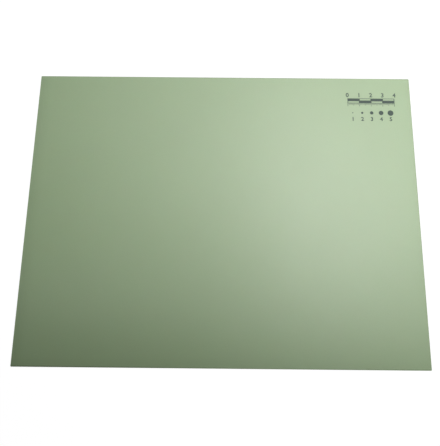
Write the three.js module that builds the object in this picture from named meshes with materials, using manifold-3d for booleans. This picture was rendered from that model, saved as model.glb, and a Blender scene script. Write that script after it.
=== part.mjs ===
// A bench work mat: a soft matte face sheet, a thin stiff core film and a grip base, bonded into one
// laminate and die-cut together, with a small rule hot-stamped near the far right corner.
// Millimetres. X runs along the long side, Y away from the user, Z up. The origin is on the
// underside, at the middle of the mat.

import * as THREE from "three";
import { mergeVertices } from "three/addons/utils/BufferGeometryUtils.js";
import Module from "manifold-3d";

// The mat's outline
const matWidth = 320;
const matDepth = 240;
const cornerRadius = 0.8;

// The layers, from the bench upwards
const baseThickness = 0.9;
const coreThickness = 0.16;
const faceThickness = 0.9;
const bondLine = 0.02;

// The die presses the two outer arrises round
const faceArris = 0.4;
const baseArris = 0.3;

// The printed rule: a checkered bar over a row of ticks, stamped a little below the face
const printMargin = 14;
const ruleDrop = 23;
const ruleDivision = 10;
const divisionCount = 4;
const stepsInDivision = 10;
const ruleLength = divisionCount * ruleDivision;
const ruleLeft = matWidth / 2 - printMargin - ruleLength;
const ruleFront = matDepth / 2 - ruleDrop;
const barHeight = 4.4;
const barLine = 0.4;
const tickLine = 0.35;
const stepTick = 1.4;
const middleTick = 2;
const divisionTick = 2.8;
const inkThickness = 0.04;
const inkSink = 0.01;
const inkClearance = 0.02;
const cutOverrun = 1;

// How finely the round stretches are divided
const cornerSteps = 6;
const arrisSteps = 4;

const wasm = await Module();
wasm.setup();

const materials = {
  face: new THREE.MeshStandardMaterial({ color: 0x90a57f, roughness: 0.4, metalness: 0 }),
  core: new THREE.MeshStandardMaterial({ color: 0xcbd1c3, roughness: 0.42, metalness: 0 }),
  base: new THREE.MeshStandardMaterial({ color: 0x5f7560, roughness: 0.78, metalness: 0 }),
  ink: new THREE.MeshStandardMaterial({ color: 0x4b5851, roughness: 0.62, metalness: 0 }),
};

function toSolid(geometry) {
  const bare = geometry.clone();
  bare.deleteAttribute("normal");
  bare.deleteAttribute("uv");
  const merged = mergeVertices(bare);
  return new wasm.Manifold(
    new wasm.Mesh({
      numProp: 3,
      vertProperties: new Float32Array(merged.attributes.position.array),
      triVerts: new Uint32Array(merged.index.array),
    }),
  );
}

function toGeometry(solid) {
  const mesh = solid.getMesh();
  const geometry = new THREE.BufferGeometry();
  geometry.setAttribute("position", new THREE.BufferAttribute(mesh.vertProperties, mesh.numProp));
  geometry.setIndex(new THREE.BufferAttribute(mesh.triVerts, 1));
  geometry.computeVertexNormals();
  return geometry;
}

// The die's rectangle with its small corner rounding
function matOutline() {
  const x = matWidth / 2 - cornerRadius;
  const y = matDepth / 2 - cornerRadius;
  const quarter = Math.PI / 2;
  const outline = new THREE.Shape();
  outline.absarc(x, y, cornerRadius, 0, quarter);
  outline.absarc(-x, y, cornerRadius, quarter, 2 * quarter);
  outline.absarc(-x, -y, cornerRadius, 2 * quarter, 3 * quarter);
  outline.absarc(x, -y, cornerRadius, 3 * quarter, 4 * quarter);
  outline.closePath();
  return outline;
}

// A plain layer from z = 0 to its thickness
function layer(thickness) {
  return new THREE.ExtrudeGeometry(matOutline(), {
    depth: thickness,
    bevelEnabled: false,
    curveSegments: cornerSteps,
  });
}

// A block between two levels, by the edges of its rectangle
function block(left, right, front, back, bottom, top) {
  const geometry = new THREE.BoxGeometry(right - left, back - front, top - bottom);
  geometry.translate((left + right) / 2, (front + back) / 2, (bottom + top) / 2);
  return toSolid(geometry);
}

// A layer whose upper arris is round: both arrises are rounded, then the lower one is cut away
function roundedLayer(thickness, arris) {
  const both = new THREE.ExtrudeGeometry(matOutline(), {
    depth: thickness,
    bevelEnabled: true,
    bevelThickness: arris,
    bevelSize: arris,
    bevelOffset: -arris,
    bevelSegments: arrisSteps,
    curveSegments: cornerSteps,
  });
  both.translate(0, 0, -arris);
  const below = block(-matWidth, matWidth, -matDepth, matDepth, -2 * arris - cutOverrun, 0);
  return toSolid(both).subtract(below);
}

// Every other cell of the bar's two rows is left empty
function emptyCell(column, row, inset, bottom, top) {
  const rowHeight = barHeight / 2;
  return block(
    column * ruleDivision + inset,
    (column + 1) * ruleDivision - inset,
    row * rowHeight + inset,
    (row + 1) * rowHeight - inset,
    bottom - cutOverrun,
    top + cutOverrun,
  );
}

// The rule between two levels, its lines grown on every side. The rule's zero is at x = 0, the bar
// stands on y = 0 and its ticks hang below it.
function ruleGeometry(growth, bottom, top) {
  const halfLine = tickLine / 2 + growth;
  const middleStep = stepsInDivision / 2;
  let rule = block(-halfLine, ruleLength + halfLine, -growth, barHeight + growth, bottom, top);
  for (let column = 0; column < divisionCount; column++) {
    rule = rule.subtract(emptyCell(column, column % 2, barLine + growth, bottom, top));
  }
  for (let i = 0; i <= divisionCount * stepsInDivision; i++) {
    const x = (i * ruleDivision) / stepsInDivision;
    const onDivision = i % stepsInDivision === 0;
    const onMiddle = i % middleStep === 0;
    const tick = onDivision ? divisionTick : onMiddle ? middleTick : stepTick;
    rule = rule.add(block(x - halfLine, x + halfLine, -tick - growth, barLine / 2, bottom, top));
  }
  return toGeometry(rule);
}

// The face sheet with the shallow impression that the print lies in
function stampedFace() {
  const impression = ruleGeometry(inkClearance, -inkThickness - inkClearance, cutOverrun);
  impression.translate(ruleLeft, ruleFront, faceThickness - inkSink);
  return toGeometry(roundedLayer(faceThickness, faceArris).subtract(toSolid(impression)));
}

function piece(name, geometry, material) {
  const mesh = new THREE.Mesh(geometry, material);
  mesh.name = name;
  return mesh;
}

const coreLevel = baseThickness + bondLine;
const faceLevel = coreLevel + coreThickness + bondLine;

// The base is the same kind of layer turned over, so that its round arris is at the bench
const gripBase = piece("grip_base", toGeometry(roundedLayer(baseThickness, baseArris)), materials.base);
gripBase.rotation.x = Math.PI;
gripBase.position.z = baseThickness;

const coreFilm = piece("core_film", layer(coreThickness), materials.core);
coreFilm.position.z = coreLevel;

const faceSheet = piece("face_sheet", stampedFace(), materials.face);
faceSheet.position.z = faceLevel;

const printedScale = piece("printed_scale", ruleGeometry(0, -inkThickness, 0), materials.ink);
printedScale.position.set(ruleLeft, ruleFront, faceLevel + faceThickness - inkSink);

const workMat = new THREE.Group();
workMat.name = "work_mat";
workMat.add(gripBase, coreFilm, faceSheet, printedScale);

export default workMat;
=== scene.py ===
import math

import bmesh
import bpy
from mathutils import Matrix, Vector


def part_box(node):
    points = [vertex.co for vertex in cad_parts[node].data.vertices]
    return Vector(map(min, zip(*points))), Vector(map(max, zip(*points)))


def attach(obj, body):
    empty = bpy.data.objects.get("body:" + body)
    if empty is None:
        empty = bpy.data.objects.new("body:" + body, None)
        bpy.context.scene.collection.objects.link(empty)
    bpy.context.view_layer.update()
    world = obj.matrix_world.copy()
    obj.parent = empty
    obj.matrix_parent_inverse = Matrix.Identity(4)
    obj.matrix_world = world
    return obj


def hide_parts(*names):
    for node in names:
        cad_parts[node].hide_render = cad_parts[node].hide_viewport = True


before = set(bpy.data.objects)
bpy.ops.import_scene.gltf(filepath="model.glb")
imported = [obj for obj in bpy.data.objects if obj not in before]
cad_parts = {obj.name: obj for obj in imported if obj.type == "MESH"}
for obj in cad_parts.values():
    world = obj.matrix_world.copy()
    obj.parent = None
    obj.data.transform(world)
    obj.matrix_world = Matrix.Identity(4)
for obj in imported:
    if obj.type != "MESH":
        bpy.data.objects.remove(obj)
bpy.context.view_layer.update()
scene = bpy.context.scene
mm = 0.001
print("frame loaded")


# The camera looks steeply down on the mat from in front of its middle. The picture is a crop, so its
# optical centre lies a little to the right of the picture's own centre, and above it.
photoView = {
    "place": (7.88, -62.07, 343.97),     # mm
    "aim": (7.22, 8.79, 0),              # mm
    "picture": (440, 446),               # pixels
    "opticalCentre": (232, 203),         # pixels
    "focalLength": 426.6,                # pixels
    "sensor": 36,                        # mm
    "nearest": 10,                       # mm
}


def placeCamera(view):
    wide, high = view["picture"]
    centreX, centreY = view["opticalCentre"]
    lens = bpy.data.cameras.new("photoCamera")
    lens.sensor_width = view["sensor"]
    lens.lens = view["sensor"] * view["focalLength"] / high
    lens.shift_x = (wide / 2 - centreX) / high
    lens.shift_y = (centreY - high / 2) / high
    lens.clip_start = view["nearest"] * mm
    camera = bpy.data.objects.new("photoCamera", lens)
    turnTowards(camera, Vector(view["place"]) * mm, Vector(view["aim"]) * mm)
    scene.collection.objects.link(camera)
    scene.camera = camera


def turnTowards(thing, place, aim):
    thing.location = place
    thing.rotation_mode = "QUATERNION"
    thing.rotation_quaternion = (aim - place).to_track_quat("-Z", "Y")


placeCamera(photoView)
scene.view_settings.view_transform = "Standard"
print("camera placed")


# A wire is one output socket of a shader node. Sums on wires add Math nodes.
class Wire:
    def __init__(self, finish, socket):
        self.finish = finish
        self.socket = socket

    def sum(self, operation, first, second=0.0):
        return self.finish.node("Math", {"operation": operation}, {0: first, 1: second})

    def __add__(self, other):
        return self.sum("ADD", self, other)

    def __radd__(self, other):
        return self.sum("ADD", other, self)

    def __sub__(self, other):
        return self.sum("SUBTRACT", self, other)

    def __rsub__(self, other):
        return self.sum("SUBTRACT", other, self)

    def __mul__(self, other):
        return self.sum("MULTIPLY", self, other)

    def __rmul__(self, other):
        return self.sum("MULTIPLY", other, self)

    def __abs__(self):
        return self.sum("ABSOLUTE", self)

    def least(self, other):
        return self.sum("MINIMUM", self, other)


wallSkin = 0.02                          # mm, how deep the cut wall's own marks go into the mat
cutStretch = 0.08                        # how much slower the die's marks change down the wall


# A finish is one node tree and the steps that fill it
class Finish:
    def __init__(self, owner):
        owner.use_nodes = True
        self.tree = owner.node_tree
        self.tree.nodes.clear()

    def node(self, kind, settings=None, sockets=None, output=0):
        made = self.tree.nodes.new("ShaderNode" + kind)
        for name, value in (settings or {}).items():
            setattr(made, name, value)
        for key, value in (sockets or {}).items():
            if isinstance(value, Wire):
                self.tree.links.new(value.socket, made.inputs[key])
            else:
                made.inputs[key].default_value = value
        if made.outputs:
            return Wire(self, made.outputs[output])

    def place(self):
        return self.node("TexCoord", output="Object")

    def along(self, axis):
        return self.node("SeparateXYZ", None, {0: self.place()}, axis)

    # How far inside the mat's outline a point is
    def inward(self, high):
        return (high.x - abs(self.along("X"))).least(high.y - abs(self.along("Y")))

    # Lines that the die has dragged down a cut wall
    def cuts(self, size):
        drawn = self.node("Mapping", None, {"Vector": self.place(), "Scale": (1, 1, cutStretch)})
        return self.patches(drawn, size, 3, 0.6)

    # 1 at an edge and 0 from that many mm away, by the distance from it
    def near(self, distance, reach):
        return 1.0 - self.ramp(distance, 0.0, reach * mm)

    # 1 on the cut wall and 0 on the rest of a layer
    def wall(self, inward):
        return self.near(inward, wallSkin)

    def noise(self, place, size, detail=2.0, roughness=0.5, output=0):
        return self.node("TexNoise", None, {
            "Vector": place, "Scale": 1 / (size * mm), "Detail": detail, "Roughness": roughness,
        }, output)

    # 0 at the low value, 1 at the high one, and eased between them
    def ramp(self, value, low, high):
        return self.node("MapRange", {"interpolation_type": "SMOOTHSTEP"}, {
            "Value": value, "From Min": low, "From Max": high,
        })

    # Noise drawn out into patches of 0 and 1 with soft edges
    def patches(self, place, size, detail, roughness=0.5, low=0.3, high=0.7):
        return self.ramp(self.noise(place, size, detail, roughness), low, high)

    # A mask of which the patches leave all, or all but that share
    def ragged(self, mask, share, patches):
        return mask * ((1 - share) + share * patches)

    def mix(self, share, first, second, blend="MIX"):
        settings = {"data_type": "RGBA", "blend_type": blend}
        return self.node("Mix", settings, {0: share, 6: first, 7: second}, 2)

    # A bump of that depth in mm, on top of the one before it
    def bump(self, height, depth, under=None):
        sockets = {"Height": height, "Strength": 1.0, "Distance": depth * mm}
        if under:
            sockets["Normal"] = under
        return self.node("Bump", None, sockets)

    def close(self, sockets):
        shader = self.node("BsdfPrincipled", None, sockets)
        self.node("OutputMaterial", None, {"Surface": shader})

    # 1 for a ray that looks for the white room rather than for its light
    def looking(self):
        rays = [self.node("LightPath", output=kind) for kind in ("Is Camera Ray", "Is Glossy Ray")]
        through = self.node("LightPath", output="Is Transmission Ray")
        return (rays[0] + rays[1] + through).least(1.0)


def shade(colour, share=1.0):
    return (*[channel * share for channel in colour], 1.0)


finishes = {}


def newFinish(slot):
    material = bpy.data.materials.new(slot)
    finishes[slot] = material
    return Finish(material)


# The face: matte calendered vinyl with its pigment a little uneven. Its colour carries painted shade: a
# little on the rolled rim, more along the front edge, most at the left, and a little near the left, front
# and right edges. The cut wall is scored, and its darker streaks are partly the die's marks and partly
# painted shade.
faceVinyl = {
    "colour": (0.290, 0.397, 0.222),
    "cloudSize": 45, "cloudSpread": 0.007,
    "pigmentSize": 12, "pigmentShare": 0.065,
    "speckSize": 0.9, "speckSpread": 0.02,
    "roughness": 0.40, "roughnessSpread": 0.03, "smearSize": 120,
    "gloss": 0.69,
    "grainSize": 0.35, "grainDepth": 0.014,
    "rippleSize": 14, "rippleDepth": 0.02,
    "rimStart": 0.2, "rimEnd": 1.0, "rimShade": 0.95, "rimRagged": 0.4,
    "frontShadeStart": 0.65, "frontShadeEnd": 1.3, "paintedFrontShade": (0.160, 0.220, 0.118), "frontShadeRagged": 0.2,
    "frontShadeRight": 0.20, "frontShadeFade": 0.3,  # how much of the painted shade is left, and how far right of the middle
    "edgeShadeReach": 12, "edgeShadeSize": 20, "edgeShadeRagged": 0.3,
    "edgeShadeLeft": 0.10, "edgeShadeFront": 0.047, "edgeShadeRight": 0.03,  # how much darker, at each edge
    "wallShade": 0.62, "wallRoughness": 0.25, "cutSize": 0.16, "cutDepth": 0.03,
}


def makeFaceVinyl(look, low, high):
    finish = newFinish("face_vinyl")
    place = finish.place()
    inward = finish.inward(high)
    wall = finish.wall(inward)
    # Painted shade on the rolled rim, all round the face
    rim = 1.0 - finish.ramp(inward, look["rimStart"] * mm, look["rimEnd"] * mm)
    # Painted shade: a dark strip along the front edge, strongest at the left and fading towards the right
    fromFront = finish.along("Y") - low.y
    paintedFrontShade = 1.0 - finish.ramp(fromFront, look["frontShadeStart"] * mm, look["frontShadeEnd"] * mm)
    frontShadeRamp = finish.ramp(finish.along("X"), low.x, look["frontShadeFade"] * high.x)
    frontShadeMask = paintedFrontShade * (1.0 - frontShadeRamp * (1 - look["frontShadeRight"]))
    clouds = finish.patches(place, look["cloudSize"], 3)
    specks = finish.patches(place, look["speckSize"], 3, 0.6)
    cloudy = finish.mix(
        clouds,
        shade(look["colour"], 1 - look["cloudSpread"]),
        shade(look["colour"], 1 + look["cloudSpread"]),
    )
    pigment = finish.noise(place, look["pigmentSize"], 5, 0.75, "Color")
    uneven = finish.mix(look["pigmentShare"], cloudy, pigment, "MULTIPLY")
    grey = 1 - look["speckSpread"]
    specky = finish.mix(specks, uneven, (grey, grey, grey, 1), "MULTIPLY")
    # Painted shade near the left, front and right edges, most at the left, in uneven patches
    paintedEdgeShade = (
        look["edgeShadeLeft"] * finish.near(finish.along("X") - low.x, look["edgeShadeReach"])
        + look["edgeShadeFront"] * finish.near(fromFront, look["edgeShadeReach"])
        + look["edgeShadeRight"] * finish.near(high.x - finish.along("X"), look["edgeShadeReach"])
    )
    raggedEdgeShade = finish.ragged(paintedEdgeShade, look["edgeShadeRagged"], finish.patches(place, look["edgeShadeSize"], 3))
    edgeShaded = finish.mix(raggedEdgeShade, specky, (0, 0, 0, 1))
    paintedRimShade = finish.ragged(rim, look["rimRagged"], specks)
    rimShaded = finish.mix(paintedRimShade, edgeShaded, shade(look["colour"], look["rimShade"]))
    # The front edge's painted shade goes over the colour here
    rubbed = finish.mix(finish.ragged(frontShadeMask, look["frontShadeRagged"], specks), rimShaded, shade(look["paintedFrontShade"]))
    # The cut wall's darker streaks are partly the die's scoring and partly painted shade
    scores = finish.cuts(look["cutSize"]) * wall
    smears = finish.noise(place, look["smearSize"], 4, 0.6)
    roughness = look["roughness"] + (smears - 0.5) * (2 * look["roughnessSpread"])
    ripple = finish.bump(finish.noise(place, look["rippleSize"], 1), look["rippleDepth"])
    grain = finish.bump(finish.noise(place, look["grainSize"], 2), look["grainDepth"], ripple)
    finish.close({
        "Base Color": finish.mix(scores, rubbed, shade(look["colour"], look["wallShade"])),
        "Roughness": roughness + wall * look["wallRoughness"],
        "Specular IOR Level": look["gloss"],
        "Normal": finish.bump(scores, look["cutDepth"], grain),
    })


# The base: a darker and softer vinyl. On its underside the ridges are rubbed in patches, and dust lies
# in the dimples.
baseVinyl = {
    "colour": (0.115, 0.178, 0.117),
    "cloudSize": 30, "cloudSpread": 0.08,
    "dust": (0.30, 0.34, 0.26), "dustShare": 0.28, "dustSize": 1.1,
    "driftSize": 55, "driftRagged": 0.6,
    "rubbed": (0.178, 0.255, 0.180), "rubSize": 38, "rubRagged": 0.55, "rubPolish": 0.18,
    "ridgeEnd": 0.2, "dimpleStart": 0.3,  # shares of the emboss's depth
    "roughness": 0.78, "roughnessSpread": 0.06,
    "grainSize": 0.25, "grainDepth": 0.012,
    "wallShade": 0.70, "cutSize": 0.16, "cutDepth": 0.03,
}


def makeBaseVinyl(look, low, high, depth):
    finish = newFinish("base_vinyl")
    place = finish.place()
    clouds = finish.patches(place, look["cloudSize"], 4)
    clean = finish.mix(
        clouds,
        shade(look["colour"], 1 - look["cloudSpread"]),
        shade(look["colour"], 1 + look["cloudSpread"]),
    )
    height = finish.along("Z")
    inward = finish.inward(high)
    ridge = 1.0 - finish.ramp(height, low.z, low.z + look["ridgeEnd"] * depth)
    rubs = finish.ragged(ridge, look["rubRagged"], finish.patches(place, look["rubSize"], 3, 0.5, 0.35, 0.6))
    rubbed = finish.mix(rubs, clean, shade(look["rubbed"]))
    dimple = finish.ramp(height, low.z + look["dimpleStart"] * depth, low.z + depth)
    inside = finish.ramp(inward, 0.0, depth)
    drifts = finish.patches(place, look["driftSize"], 3, 0.6)
    dust = finish.patches(place, look["dustSize"], 4, 0.6, 0.35, 0.75)
    dusty = finish.ragged(dimple * inside * dust, look["driftRagged"], drifts)
    colour = finish.mix(dusty * look["dustShare"], rubbed, shade(look["dust"]))
    scores = finish.cuts(look["cutSize"]) * finish.wall(inward)
    grains = finish.noise(place, look["grainSize"], 3)
    roughness = look["roughness"] + (grains - 0.5) * (2 * look["roughnessSpread"])
    finish.close({
        "Base Color": finish.mix(scores, colour, shade(look["colour"], look["wallShade"])),
        "Roughness": roughness - rubs * look["rubPolish"],
        "Normal": finish.bump(scores, look["cutDepth"], finish.bump(grains, look["grainDepth"])),
    })


# The core: a thin off-white film that shows as a line in the cut wall, smeared by the die
coreFilm = {
    "colour": (0.60, 0.64, 0.55),
    "streakSize": 0.8, "streakSpread": 0.10,
    "roughness": 0.42, "roughnessSpread": 0.08,
    "cutSize": 0.12, "cutDepth": 0.006,
}


def makeCoreFilm(look):
    finish = newFinish("core_film")
    streaks = finish.noise(finish.place(), look["streakSize"], 3)
    colour = finish.mix(
        finish.ramp(streaks, 0.3, 0.7),
        shade(look["colour"], 1 - look["streakSpread"]),
        shade(look["colour"], 1 + look["streakSpread"]),
    )
    finish.close({
        "Base Color": colour,
        "Roughness": look["roughness"] + (streaks - 0.5) * (2 * look["roughnessSpread"]),
        "Normal": finish.bump(finish.cuts(look["cutSize"]), look["cutDepth"]),
    })


# The print: dark grey-green and duller than the face, with small thin spots
scaleInk = {
    "colour": (0.066, 0.090, 0.077),
    "thin": (0.110, 0.150, 0.118),
    "spotSize": 0.5,
    "roughness": 0.62, "roughnessSpread": 0.08,
    "gloss": 0.2,
    "grainSize": 0.3, "grainDepth": 0.004,
}


def makeScaleInk(look):
    finish = newFinish("scale_ink")
    place = finish.place()
    spots = finish.noise(place, look["spotSize"], 4, 0.65)
    finish.close({
        "Base Color": finish.mix(finish.ramp(spots, 0.5, 0.8), shade(look["colour"]), shade(look["thin"])),
        "Roughness": look["roughness"] + (spots - 0.5) * (2 * look["roughnessSpread"]),
        "Specular IOR Level": look["gloss"],
        "Normal": finish.bump(finish.noise(place, look["grainSize"], 2), look["grainDepth"]),
    })


slack = 0.01                             # mm, how far off a level an edge on it may be
flat = 0.999                             # how upright the normal of a flat face is


# The face sheet and the grip base are slabs in their nodes' boxes, with the die's corners and one
# rolled rim each
faceShape = {
    "cornerRadius": 0.8, "cornerSteps": 10,
    "rimWidth": 0.75, "rimHeight": 0.35, "rimSteps": 8,
    "printProud": 0.02,                  # how far the print's top stands clear of the face
}
baseShape = {
    "cornerRadius": 0.8, "cornerSteps": 10,
    "rimWidth": 0.3, "rimHeight": 0.3, "rimSteps": 5,
    "cell": 5.0, "ridge": 0.6, "slope": 0.45, "depth": 0.3, "weld": 0.0001,
}


def isUpright(edge):
    first, second = (vertex.co for vertex in edge.verts)
    return abs(first.z - second.z) > max(abs(first.x - second.x), abs(first.y - second.y))


def isLevel(edge, level):
    return all(abs(vertex.co.z - level) < slack * mm for vertex in edge.verts)


def roundEdges(shape, edges, radius, steps):
    bmesh.ops.bevel(
        shape, geom=edges, offset=radius, offset_type="OFFSET", segments=steps,
        profile=0.5, affect="EDGES", material=-1, clamp_overlap=True,
    )


def cutSlab(low, high, look, rimLevel):
    slab = bmesh.new()
    bmesh.ops.create_cube(slab, size=1.0)
    bmesh.ops.scale(slab, vec=high - low, verts=slab.verts)
    bmesh.ops.translate(slab, vec=(low + high) / 2, verts=slab.verts)
    roundEdges(slab, [e for e in slab.edges if isUpright(e)], look["cornerRadius"] * mm, look["cornerSteps"])
    rim = [e for e in slab.edges if isLevel(e, rimLevel)]
    stretch = look["rimWidth"] / look["rimHeight"]
    bmesh.ops.scale(slab, vec=(1, 1, stretch), verts=slab.verts)
    roundEdges(slab, rim, look["rimWidth"] * mm, look["rimSteps"])
    bmesh.ops.scale(slab, vec=(1, 1, 1 / stretch), verts=slab.verts)
    bmesh.ops.recalc_face_normals(slab, faces=slab.faces)
    for face in slab.faces:
        face.smooth = abs(face.normal.z) < flat
    return slab


def finishPiece(shape, name, slot, replaced=None):
    mesh = bpy.data.meshes.new(name)
    shape.to_mesh(mesh)
    shape.free()
    mesh.materials.append(finishes[slot])
    piece = bpy.data.objects.new(name, mesh)
    scene.collection.objects.link(piece)
    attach(piece, "root")
    if replaced:
        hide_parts(replaced)


def makeFaceSheet(look):
    low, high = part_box("face_sheet")
    high.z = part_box("printed_scale")[1].z - look["printProud"] * mm
    finishPiece(cutSlab(low, high, look, high.z), "vinyl_face", "face_vinyl", "face_sheet")


def underside(shape):
    faces = [face for face in shape.faces if face.normal.z < -flat]
    edges = {edge for face in faces for edge in face.edges}
    corners = {vertex for face in faces for vertex in face.verts}
    return faces + list(edges) + list(corners)


# Square dimples are embossed all over the base's underside, apart from its four round corners
def makeGripBase(look):
    low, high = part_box("grip_base")
    shape = cutSlab(low, high, look, low.z)
    for axis in (Vector((1, 0, 0)), Vector((0, 1, 0))):
        start, end = low.dot(axis), high.dot(axis)
        cells = round((end - start) / (look["cell"] * mm))
        for line in range(1, cells):
            bmesh.ops.bisect_plane(
                shape, geom=underside(shape), dist=look["weld"] * mm,
                plane_co=axis * (start + (end - start) * line / cells), plane_no=axis,
            )
    dimples = [face for face in shape.faces if face.normal.z < -flat and len(face.verts) == 4]
    bmesh.ops.inset_individual(shape, faces=dimples, thickness=look["ridge"] * mm, depth=0)
    bmesh.ops.inset_individual(
        shape, faces=dimples, thickness=look["slope"] * mm, depth=-look["depth"] * mm,
    )
    finishPiece(shape, "vinyl_base", "base_vinyl", "grip_base")


# What is printed beside the rule: its numerals above it, and below it a row of sizing dots, each
# over its own diameter in millimetres
printShape = {
    "ruleNumerals": "01234", "ruleGap": 1.3, "ruleHeight": 3.8,
    "dotNumerals": "12345", "dotDrop": 13.2, "dotSteps": 40,
    "dotGap": 1.2, "dotHeight": 3.5,
    "weight": 0.14, "figureShare": 0.73, "curveSteps": 4, "shortest": 0.02, "thickness": 0.04,
}


# The top of a numeral, facing up. The font's outline holds a few edges too short to grow, so they are
# merged before it is grown to the print's weight, and then it is filled again.
def flatNumeral(figure, height, look):
    text = bpy.data.curves.new("numeral", "FONT")
    text.body = figure
    text.align_x = "CENTER"
    text.size = height * mm / look["figureShare"]
    text.resolution_u = look["curveSteps"]
    holder = bpy.data.objects.new("numeral", text)
    scene.collection.objects.link(holder)
    made = bpy.data.meshes.new_from_object(holder)
    flat = bmesh.new()
    flat.from_mesh(made)
    bpy.data.objects.remove(holder)
    bpy.data.meshes.remove(made)
    bmesh.ops.remove_doubles(flat, verts=flat.verts, dist=look["shortest"] * mm)
    bmesh.ops.recalc_face_normals(flat, faces=flat.faces)
    ring = bmesh.ops.inset_region(
        flat, faces=flat.faces, thickness=-look["weight"] * mm, use_boundary=True, use_even_offset=True,
    )
    bmesh.ops.delete(flat, geom=ring["faces"], context="FACES")
    inner = [edge for edge in flat.edges if not edge.is_boundary]
    bmesh.ops.delete(flat, geom=inner, context="EDGES_FACES")
    bmesh.ops.triangle_fill(flat, edges=flat.edges, use_beauty=True, normal=(0, 0, 1))
    return flat


def addNumeral(shape, figure, height, place, look):
    figureShape = flatNumeral(figure, height, look)
    bmesh.ops.solidify(figureShape, geom=figureShape.faces, thickness=look["thickness"] * mm)
    bmesh.ops.recalc_face_normals(figureShape, faces=figureShape.faces)
    bmesh.ops.translate(figureShape, vec=place, verts=figureShape.verts)
    solid = bpy.data.meshes.new("numeral")
    figureShape.to_mesh(solid)
    figureShape.free()
    shape.from_mesh(solid)
    bpy.data.meshes.remove(solid)


def addDot(shape, radius, place, look):
    dot = bmesh.ops.create_cone(
        shape, cap_ends=True, segments=look["dotSteps"],
        radius1=radius, radius2=radius, depth=look["thickness"] * mm,
    )
    middle = Vector((0, 0, -look["thickness"] / 2 * mm))
    bmesh.ops.translate(shape, vec=place + middle, verts=dot["verts"])


# Everything printed has its top at the level of the rule's
def makePrint(look):
    low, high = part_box("printed_scale")
    length = high.x - low.x
    ruleFigures = bmesh.new()
    foot = high.y + look["ruleGap"] * mm
    for i, figure in enumerate(look["ruleNumerals"]):
        middle = low.x + length * i / (len(look["ruleNumerals"]) - 1)
        addNumeral(ruleFigures, figure, look["ruleHeight"], Vector((middle, foot, high.z)), look)
    dots = bmesh.new()
    dotFigures = bmesh.new()
    row = high.y - look["dotDrop"] * mm
    largest = max(int(figure) for figure in look["dotNumerals"])
    foot = row - (largest / 2 + look["dotGap"] + look["dotHeight"]) * mm
    for i, figure in enumerate(look["dotNumerals"]):
        middle = low.x + length * (i + 0.5) / len(look["dotNumerals"])
        addDot(dots, int(figure) / 2 * mm, Vector((middle, row, high.z)), look)
        addNumeral(dotFigures, figure, look["dotHeight"], Vector((middle, foot, high.z)), look)
    finishPiece(ruleFigures, "rule_numerals", "scale_ink")
    finishPiece(dots, "sizing_dots", "scale_ink")
    finishPiece(dotFigures, "dot_numerals", "scale_ink")


def dressNode(name, slot):
    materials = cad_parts[name].data.materials
    materials.clear()
    materials.append(finishes[slot])


makeFaceVinyl(faceVinyl, *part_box("face_sheet"))
makeBaseVinyl(baseVinyl, *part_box("grip_base"), baseShape["depth"] * mm)
makeCoreFilm(coreFilm)
makeScaleInk(scaleInk)
print("finishes made")

makeFaceSheet(faceShape)
makeGripBase(baseShape)
makePrint(printShape)
dressNode("core_film", "core_film")
dressNode("printed_scale", "scale_ink")
print("pieces made")


# The stage: a white floor that can't be seen from below, and three soft lamps in a dim room. What looks
# for the room itself, as the camera does, finds it white, apart from gloss that mirrors its ceiling.
stage = {
    "floorSize": 12, "floorDrop": 0.02,  # m and mm
    "floorLit": 0.25, "floorGlow": 0.965, "floorShadow": 0.10,
    "roomLight": 0.067, "roomWhite": 0.975,
    "ceilingFrom": 0.5, "ceilingTo": 0.75,  # how far up a ray points, 1 being straight up
}
lamps = {
    "right": {"place": (482, 308, 959), "aim": (498, 193, 0), "size": 719, "spread": 76, "watts": 3.08},
    "over": {"place": (53, -6, 420), "aim": (131, 1200, 0), "size": 633, "spread": 171, "watts": 0.964},
    "back": {"place": (-160, 484, 844), "aim": (-211, 302, 0), "size": 661, "spread": 74, "watts": 0.798},
}


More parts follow.
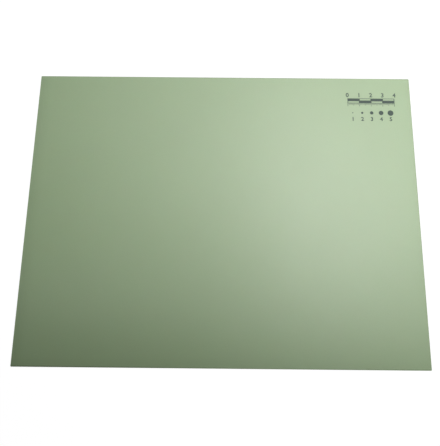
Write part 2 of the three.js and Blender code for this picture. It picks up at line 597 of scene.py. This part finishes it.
def layFloor(look):
    material = bpy.data.materials.new("floor_white")
    material.cycles.emission_sampling = "NONE"
    finish = Finish(material)
    white = (1, 1, 1, 1)
    faint = shade(white[:3], look["floorShadow"])
    shadowed = finish.node("BsdfDiffuse", None, {"Color": faint})
    glow = finish.node("Emission", None, {"Color": white, "Strength": look["floorGlow"]})
    seen = finish.node("AddShader", None, {0: shadowed, 1: glow})
    lit = finish.node("Emission", None, {"Color": white, "Strength": look["floorLit"]})
    top = finish.node("MixShader", None, {0: finish.looking(), 1: lit, 2: seen})
    clear = finish.node("BsdfTransparent")
    under = finish.node("NewGeometry", output="Backfacing")
    surface = finish.node("MixShader", None, {0: under, 1: top, 2: clear})
    finish.node("OutputMaterial", None, {"Surface": surface})
    shape = bmesh.new()
    bmesh.ops.create_grid(shape, x_segments=1, y_segments=1, size=look["floorSize"] / 2)
    bmesh.ops.translate(shape, vec=(0, 0, -look["floorDrop"] * mm), verts=shape.verts)
    mesh = bpy.data.meshes.new("floor")
    shape.to_mesh(mesh)
    shape.free()
    mesh.materials.append(material)
    floor = bpy.data.objects.new("floor", mesh)
    scene.collection.objects.link(floor)


def lightRoom(look):
    scene.world = bpy.data.worlds.new("room")
    finish = Finish(scene.world)
    direction = finish.node("TexCoord", output="Generated")
    upward = finish.node("SeparateXYZ", None, {0: direction}, "Z")
    ceiling = finish.ramp(upward, look["ceilingFrom"], look["ceilingTo"])
    mirrored = finish.node("LightPath", output="Is Glossy Ray")
    white = finish.looking() * (1.0 - mirrored * ceiling)
    strength = look["roomLight"] + white * (look["roomWhite"] - look["roomLight"])
    light = finish.node("Background", None, {"Color": (1, 1, 1, 1), "Strength": strength})
    finish.node("OutputWorld", None, {"Surface": light})


def hangLamp(name, look):
    softbox = bpy.data.lights.new(name, "AREA")
    softbox.shape = "SQUARE"
    softbox.size = look["size"] * mm
    softbox.spread = math.radians(look["spread"])
    softbox.energy = look["watts"]
    lamp = bpy.data.objects.new(name, softbox)
    turnTowards(lamp, Vector(look["place"]) * mm, Vector(look["aim"]) * mm)
    lamp.visible_camera = False
    scene.collection.objects.link(lamp)


layFloor(stage)
lightRoom(stage)
for name, look in lamps.items():
    hangLamp(name, look)
print("stage lit")
